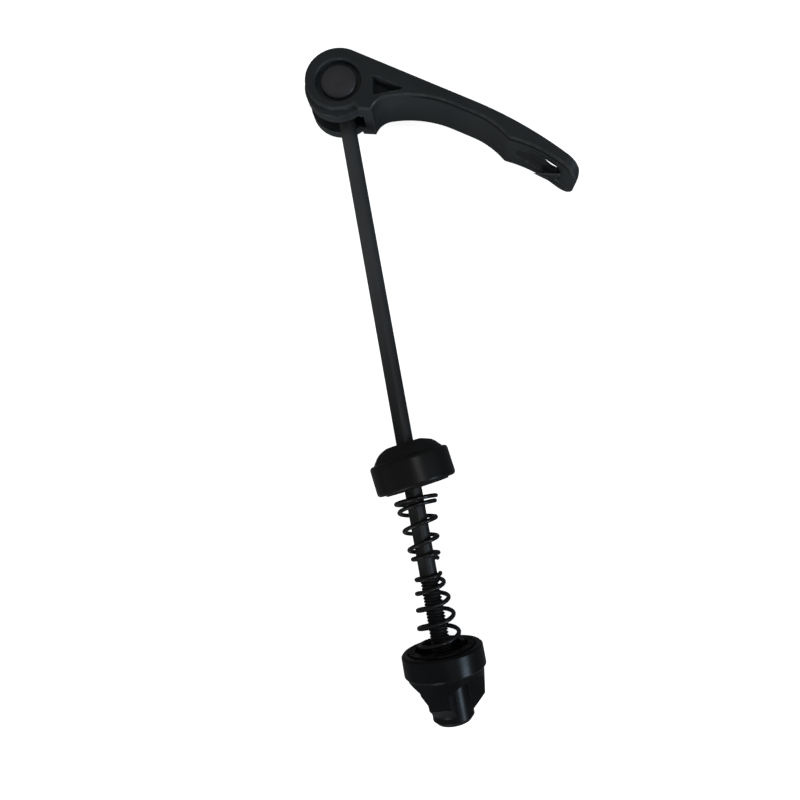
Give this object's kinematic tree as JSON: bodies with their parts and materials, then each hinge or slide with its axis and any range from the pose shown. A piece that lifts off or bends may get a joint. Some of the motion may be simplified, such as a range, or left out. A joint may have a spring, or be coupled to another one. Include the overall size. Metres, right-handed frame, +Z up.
{
  "type": "quick release skewer",
  "caption": "Black quick release skewer: forked cam lever on a cross pin, slim rod, loose collar with a cam saddle, conical springs and a ribbed nut, for clamping a bicycle wheel.",
  "frame": {"origin": "under the middle of the whole skewer, on the ground it lies on", "axes": "+Y along the rod towards the lever, +X to the side of the lever's tip, +Z up along the pivot pin"},
  "size_m": [0.073, 0.188, 0.0221],
  "materials": {
    "lever_cast": "matt black cast, painted",
    "pin_steel": "satin black oxide",
    "rod_steel": "satin black oxide",
    "cap_black": "semi-gloss black",
    "saddle_plastic": "moulded black",
    "ring_steel": "black oxide",
    "spring_steel": "black oxide wire",
    "nut_black": "semi-gloss black"
  },
  "bodies": {
    "rod": {"skewer_rod": "rod_steel", "pivot_pin": "pin_steel"},
    "lever": {"lever": "lever_cast"},
    "lever_spring": {"lever_spring": "spring_steel"},
    "collar": {"end_cap": "cap_black", "cam_saddle": "saddle_plastic", "lever_grip_ring": "ring_steel"},
    "nut_spring": {"nut_spring": "spring_steel"},
    "nut": {"nut_body": "nut_black", "nut_grip_ring": "ring_steel"}
  },
  "joints": [
    {"name": "lever_pivot", "type": "hinge", "parent": "rod", "child": "lever", "pos_m": [-0.02577, 0.08353, 0.01105], "axis": [0, 0, 1], "range_deg": [0, 180]},
    {"name": "collar_slide", "type": "slide", "parent": "rod", "child": "lever_spring", "axis": [0, 1, 0], "range_m": [-0.001, 0.094]},
    {"name": "collar_spin", "type": "hinge", "parent": "lever_spring", "child": "collar", "pos_m": [-0.02577, -0.02672, 0.01105], "axis": [0, 1, 0], "continuous": true},
    {"name": "nut_travel", "type": "slide", "parent": "rod", "child": "nut_spring", "axis": [0, 1, 0], "range_m": [-0.0065, 0.0017]},
    {"name": "nut_turn", "type": "hinge", "parent": "nut_spring", "child": "nut", "pos_m": [-0.02577, -0.07637, 0.01105], "axis": [0, 1, 0], "range_deg": [-2880, 720]}
  ],
  "couplings": [
    {"joint": "nut_travel", "follows": "nut_turn", "m_per_rad": 0.00012732}
  ]
}
